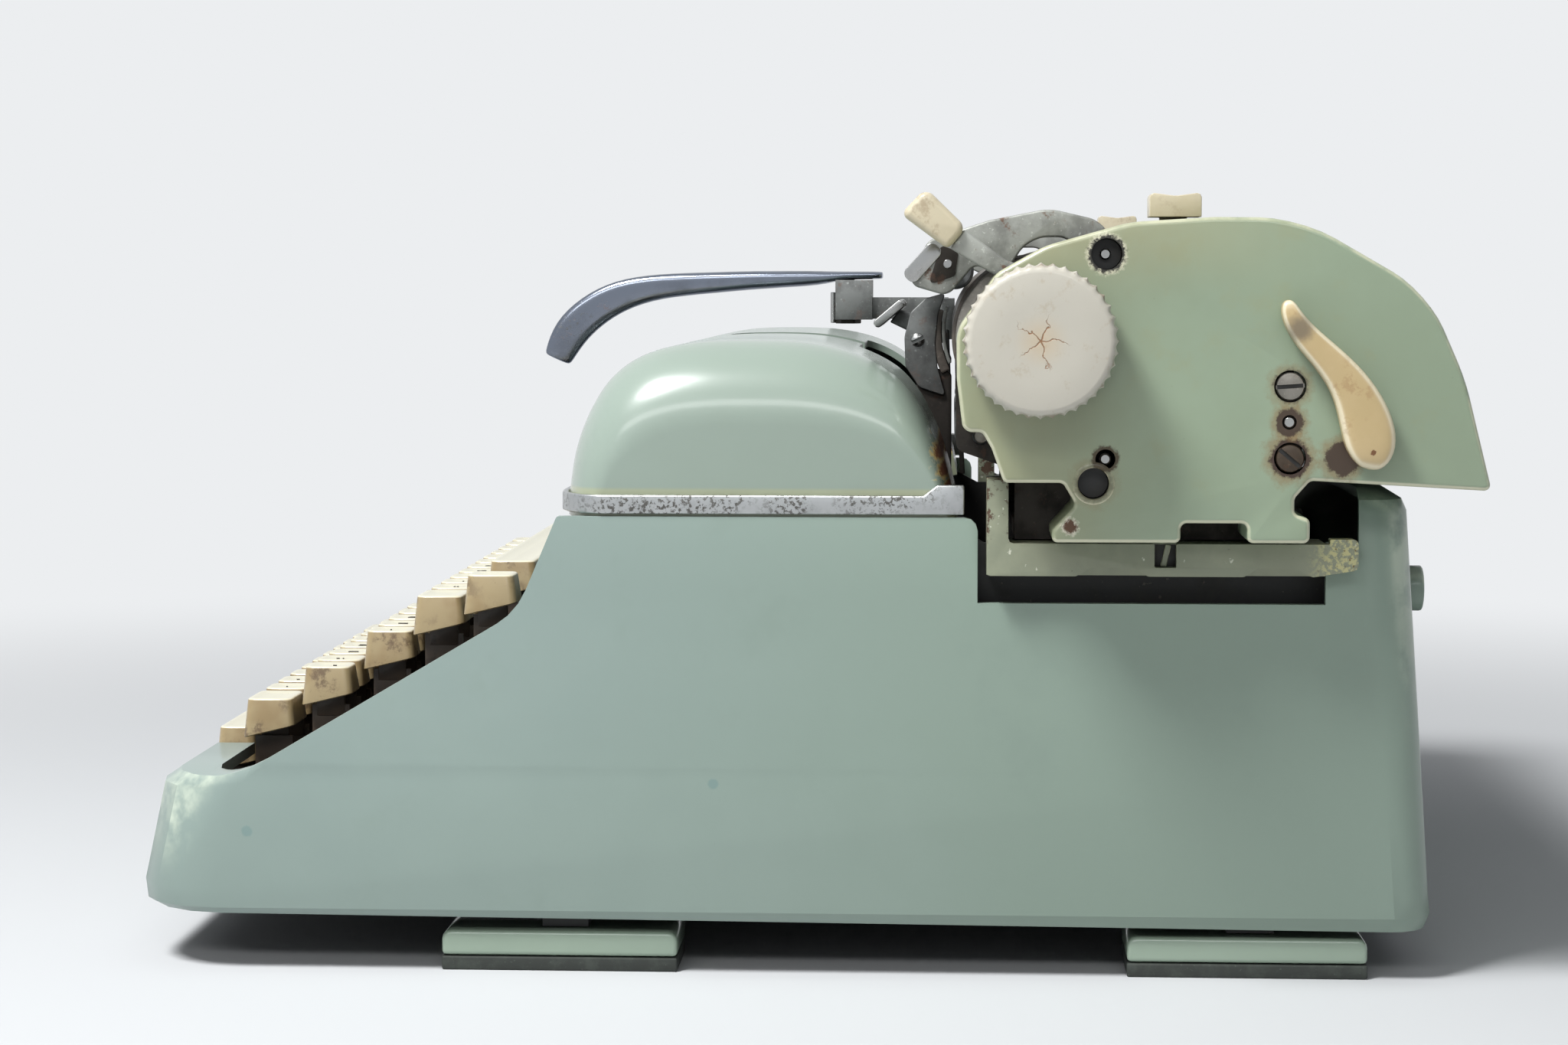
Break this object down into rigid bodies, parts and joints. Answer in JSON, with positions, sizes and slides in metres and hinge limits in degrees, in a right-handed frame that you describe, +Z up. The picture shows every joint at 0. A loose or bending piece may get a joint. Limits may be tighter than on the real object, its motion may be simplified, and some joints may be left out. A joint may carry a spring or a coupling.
{
  "type": "manual typewriter",
  "caption": "Manual typewriter with a sliding carriage, hinged ribbon cover, platen with knobs, levers and a full keyboard.",
  "frame": {"origin": "centre of the bounding box in plan, on the surface the feet stand on", "axes": "+Z up, +X to the typist's right, -Y towards the typist, +Y to the rear"},
  "size_m": [0.424, 0.403, 0.2341],
  "materials": {
    "body_shell": "semi-gloss sage enamel, worn",
    "rear_cap": "black lacquer",
    "side_tray_right": "satin sage enamel, worn",
    "side_tray_left": "satin sage enamel, worn",
    "foot_pad_front_right": "hard, matte",
    "foot_shoe_front_right": "semi-gloss sage enamel, yellowed",
    "foot_pad_front_left": "hard, matte",
    "foot_shoe_front_left": "semi-gloss sage enamel, yellowed",
    "foot_pad_rear_right": "hard, matte",
    "foot_shoe_rear_right": "semi-gloss sage enamel, yellowed",
    "foot_pad_rear_left": "hard, matte",
    "foot_shoe_rear_left": "semi-gloss sage enamel, yellowed",
    "bottom_plate": "black lacquer",
    "base_frame": "black lacquer",
    "key_lever_shaft": "satin",
    "spring_drum": "satin",
    "type_segment": "satin",
    "type_bars": "satin",
    "strike_type_bar": "satin",
    "card_guides": "satin",
    "ribbon_cover": "semi-gloss sage enamel, worn",
    "cover_trim": "satin, pitted",
    "cover_hinge_rod": "satin",
    "ribbon_spool_right": "dull, darkened",
    "ribbon_spool_left": "dull, darkened",
    "carriage_frame": "dull, darkened",
    "end_cover_right": "semi-gloss sage enamel, yellowed",
    "cover_bracket_right": "dull, darkened",
    "end_cover_left": "semi-gloss sage enamel, yellowed",
    "cover_bracket_left": "dull, darkened",
    "rear_cover": "semi-gloss sage enamel, yellowed",
    "paper_table": "dull, darkened",
    "platen_roller": "hard, matte",
    "platen_shaft": "satin",
    "platen_knob_right": "aged, crazed",
    "platen_knob_left": "aged, crazed",
    "feed_roller_front": "hard, matte",
    "feed_roller_rear": "hard, matte",
    "paper_bail": "zinc plated, rust spotted",
    "bail_rollers": "hard, matte",
    "line_space_lever": "satin, pitted",
    "line_space_bracket": "zinc plated, rust spotted",
    "paper_release_lever": "aged ivory",
    "carriage_release_lever_right": "aged tan",
    "carriage_release_lever_left": "aged tan",
    "margin_button_right": "aged ivory",
    "margin_button_left": "aged ivory",
    "key_row_1": "aged ivory",
    "strike_key": "aged ivory",
    "key_row_2": "aged ivory",
    "key_row_3": "aged ivory",
    "key_row_4": "aged ivory",
    "shift_key_right": "aged ivory",
    "shift_key_left": "aged ivory",
    "shift_lock_key": "dark brown",
    "backspace_key": "aged ivory",
    "margin_release_key": "aged ivory",
    "ribbon_key": "aged ivory",
    "space_bar": "aged ivory",
    "tab_bar": "aged ivory"
  },
  "bodies": {
    "body": {"body_shell": "body_shell", "base_frame": "base_frame", "bottom_plate": "bottom_plate", "rear_cap": "rear_cap", "side_tray_right": "side_tray_right", "side_tray_left": "side_tray_left", "key_lever_shaft": "key_lever_shaft", "type_segment": "type_segment", "type_bars": "type_bars", "card_guides": "card_guides", "cover_hinge_rod": "cover_hinge_rod", "foot_pad_front_right": "foot_pad_front_right", "foot_shoe_front_right": "foot_shoe_front_right", "foot_pad_front_left": "foot_pad_front_left", "foot_shoe_front_left": "foot_shoe_front_left", "foot_pad_rear_right": "foot_pad_rear_right", "foot_shoe_rear_right": "foot_shoe_rear_right", "foot_pad_rear_left": "foot_pad_rear_left", "foot_shoe_rear_left": "foot_shoe_rear_left"},
    "ribbon_cover": {"ribbon_cover": "ribbon_cover", "cover_trim": "cover_trim"},
    "ribbon_spool_right": {"ribbon_spool_right": "ribbon_spool_right"},
    "ribbon_spool_left": {"ribbon_spool_left": "ribbon_spool_left"},
    "spring_drum": {"spring_drum": "spring_drum"},
    "carriage": {"carriage_frame": "carriage_frame", "end_cover_right": "end_cover_right", "end_cover_left": "end_cover_left", "cover_bracket_right": "cover_bracket_right", "cover_bracket_left": "cover_bracket_left", "rear_cover": "rear_cover", "paper_table": "paper_table", "line_space_bracket": "line_space_bracket"},
    "platen": {"platen_roller": "platen_roller", "platen_shaft": "platen_shaft", "platen_knob_right": "platen_knob_right", "platen_knob_left": "platen_knob_left"},
    "feed_roller_front": {"feed_roller_front": "feed_roller_front"},
    "feed_roller_rear": {"feed_roller_rear": "feed_roller_rear"},
    "paper_bail": {"paper_bail": "paper_bail", "bail_rollers": "bail_rollers"},
    "line_space_lever": {"line_space_lever": "line_space_lever"},
    "paper_release_lever": {"paper_release_lever": "paper_release_lever"},
    "carriage_release_right": {"carriage_release_lever_right": "carriage_release_lever_right"},
    "carriage_release_left": {"carriage_release_lever_left": "carriage_release_lever_left"},
    "margin_button_right": {"margin_button_right": "margin_button_right"},
    "margin_button_left": {"margin_button_left": "margin_button_left"},
    "strike_type_bar": {"strike_type_bar": "strike_type_bar"},
    "space_bar": {"space_bar": "space_bar"},
    "tab_bar": {"tab_bar": "tab_bar"},
    "shift_key_left": {"shift_key_left": "shift_key_left"},
    "shift_key_right": {"shift_key_right": "shift_key_right"},
    "shift_lock_key": {"shift_lock_key": "shift_lock_key"},
    "backspace_key": {"backspace_key": "backspace_key"},
    "margin_release_key": {"margin_release_key": "margin_release_key"},
    "ribbon_key": {"ribbon_key": "ribbon_key"},
    "key_row_1": {"key_row_1": "key_row_1"},
    "key_row_2": {"key_row_2": "key_row_2"},
    "key_row_3": {"key_row_3": "key_row_3"},
    "key_row_4": {"key_row_4": "key_row_4"},
    "strike_key": {"strike_key": "strike_key"}
  },
  "joints": [
    {"name": "carriage_slide", "type": "slide", "parent": "body", "child": "carriage", "axis": [-1, 0, 0], "range_m": [-0.125, 0.125]},
    {"name": "ribbon_cover_hinge", "type": "hinge", "parent": "body", "child": "ribbon_cover", "pos_m": [0, -0.0645, 0.1405], "axis": [1, 0, 0], "range_deg": [0, 70]},
    {"name": "platen_turn", "type": "hinge", "parent": "carriage", "child": "platen", "pos_m": [0, 0.0722, 0.1911], "axis": [1, 0, 0], "continuous": true},
    {"name": "feed_roller_front_turn", "type": "hinge", "parent": "carriage", "child": "feed_roller_front", "pos_m": [0, 0.05611, 0.16207], "axis": [1, 0, 0], "continuous": true},
    {"name": "feed_roller_rear_turn", "type": "hinge", "parent": "carriage", "child": "feed_roller_rear", "pos_m": [0, 0.08829, 0.16207], "axis": [1, 0, 0], "continuous": true},
    {"name": "line_space_lever_turn", "type": "hinge", "parent": "carriage", "child": "line_space_lever", "pos_m": [-0.195, 0.005, 0.195], "axis": [0, 0, 1], "range_deg": [0, 35], "stiffness_Nm_per_rad": 0.12, "springref_deg": -22.92},
    {"name": "paper_release_turn", "type": "hinge", "parent": "carriage", "child": "paper_release_lever", "pos_m": [0.1733, 0.084, 0.1999], "axis": [1, 0, 0], "range_deg": [0, 20]},
    {"name": "carriage_release_right_turn", "type": "hinge", "parent": "carriage", "child": "carriage_release_right", "pos_m": [0.19, 0.1661, 0.1607], "axis": [1, 0, 0], "range_deg": [0, 15], "stiffness_Nm_per_rad": 0.2, "springref_deg": -11.46},
    {"name": "carriage_release_left_turn", "type": "hinge", "parent": "carriage", "child": "carriage_release_left", "pos_m": [-0.19, 0.1661, 0.1607], "axis": [1, 0, 0], "range_deg": [0, 15], "stiffness_Nm_per_rad": 0.2, "springref_deg": -11.46},
    {"name": "paper_bail_lift", "type": "hinge", "parent": "carriage", "child": "paper_bail", "pos_m": [0, 0.092, 0.2119], "axis": [-1, 0, 0], "range_deg": [0, 60]},
    {"name": "margin_button_right_press", "type": "slide", "parent": "carriage", "child": "margin_button_right", "axis": [0, 0, -1], "range_m": [0, 0.004], "stiffness_N_per_m": 300, "springref_m": -0.002},
    {"name": "margin_button_left_press", "type": "slide", "parent": "carriage", "child": "margin_button_left", "axis": [0, 0, -1], "range_m": [0, 0.004], "stiffness_N_per_m": 300, "springref_m": -0.002},
    {"name": "ribbon_spool_right_turn", "type": "hinge", "parent": "body", "child": "ribbon_spool_right", "pos_m": [0.116, -0.012, 0.139], "axis": [0, 0, 1], "continuous": true},
    {"name": "ribbon_spool_left_turn", "type": "hinge", "parent": "body", "child": "ribbon_spool_left", "pos_m": [-0.116, -0.012, 0.139], "axis": [0, 0, 1], "continuous": true},
    {"name": "spring_drum_turn", "type": "hinge", "parent": "body", "child": "spring_drum", "pos_m": [-0.08, 0.1674, 0.099], "axis": [0, 1, 0], "range_deg": [-300, 300]},
    {"name": "space_bar_press", "type": "hinge", "parent": "body", "child": "space_bar", "pos_m": [0, 0.15, 0.0321], "axis": [1, 0, 0], "range_deg": [0, 1.2], "stiffness_Nm_per_rad": 5, "springref_deg": -11.46},
    {"name": "tab_bar_press", "type": "hinge", "parent": "body", "child": "tab_bar", "pos_m": [0, 0.15, 0.0321], "axis": [1, 0, 0], "range_deg": [0, 1.5], "stiffness_Nm_per_rad": 5, "springref_deg": -11.46},
    {"name": "shift_key_left_press", "type": "hinge", "parent": "body", "child": "shift_key_left", "pos_m": [0, 0.15, 0.0321], "axis": [1, 0, 0], "range_deg": [0, 1], "stiffness_Nm_per_rad": 2, "springref_deg": -11.46},
    {"name": "shift_key_right_press", "type": "hinge", "parent": "body", "child": "shift_key_right", "pos_m": [0, 0.15, 0.0321], "axis": [1, 0, 0], "range_deg": [0, 1], "stiffness_Nm_per_rad": 2, "springref_deg": -11.46},
    {"name": "shift_lock_key_press", "type": "hinge", "parent": "body", "child": "shift_lock_key", "pos_m": [0, 0.15, 0.0321], "axis": [1, 0, 0], "range_deg": [0, 2], "stiffness_Nm_per_rad": 2, "springref_deg": -11.46},
    {"name": "backspace_key_press", "type": "hinge", "parent": "body", "child": "backspace_key", "pos_m": [0, 0.15, 0.0321], "axis": [1, 0, 0], "range_deg": [0, 1.7], "stiffness_Nm_per_rad": 2, "springref_deg": -11.46},
    {"name": "margin_release_key_press", "type": "hinge", "parent": "body", "child": "margin_release_key", "pos_m": [0, 0.15, 0.0321], "axis": [1, 0, 0], "range_deg": [0, 1.5], "stiffness_Nm_per_rad": 2, "springref_deg": -11.46},
    {"name": "ribbon_key_press", "type": "hinge", "parent": "body", "child": "ribbon_key", "pos_m": [0, 0.15, 0.0321], "axis": [1, 0, 0], "range_deg": [0, 1.5], "stiffness_Nm_per_rad": 2, "springref_deg": -11.46},
    {"name": "key_row_1_press", "type": "hinge", "parent": "body", "child": "key_row_1", "pos_m": [0, 0.15, 0.0321], "axis": [1, 0, 0], "range_deg": [0, 2], "stiffness_Nm_per_rad": 7, "springref_deg": -11.46},
    {"name": "key_row_2_press", "type": "hinge", "parent": "body", "child": "key_row_2", "pos_m": [0, 0.15, 0.0321], "axis": [1, 0, 0], "range_deg": [0, 2], "stiffness_Nm_per_rad": 8, "springref_deg": -11.46},
    {"name": "key_row_3_press", "type": "hinge", "parent": "body", "child": "key_row_3", "pos_m": [0, 0.15, 0.0321], "axis": [1, 0, 0], "range_deg": [0, 1.9], "stiffness_Nm_per_rad": 8, "springref_deg": -11.46},
    {"name": "key_row_4_press", "type": "hinge", "parent": "body", "child": "key_row_4", "pos_m": [0, 0.15, 0.0321], "axis": [1, 0, 0], "range_deg": [0, 1.7], "stiffness_Nm_per_rad": 8, "springref_deg": -11.46},
    {"name": "strike_key_press", "type": "hinge", "parent": "body", "child": "strike_key", "pos_m": [0, 0.15, 0.0321], "axis": [1, 0, 0], "range_deg": [0, 2], "stiffness_Nm_per_rad": 2, "springref_deg": -11.46},
    {"name": "type_bar_swing", "type": "hinge", "parent": "body", "child": "strike_type_bar", "pos_m": [0, 0.018, 0.124], "axis": [-1, 0, 0], "range_deg": [0, 106]}
  ],
  "couplings": [
    {"joint": "feed_roller_front_turn", "follows": "platen_turn", "ratio": -3.125},
    {"joint": "feed_roller_rear_turn", "follows": "platen_turn", "ratio": -3.125},
    {"joint": "spring_drum_turn", "follows": "carriage_slide", "rad_per_m": -40},
    {"joint": "strike_key_press", "follows": "type_bar_swing", "ratio": 0.0188}
  ]
}
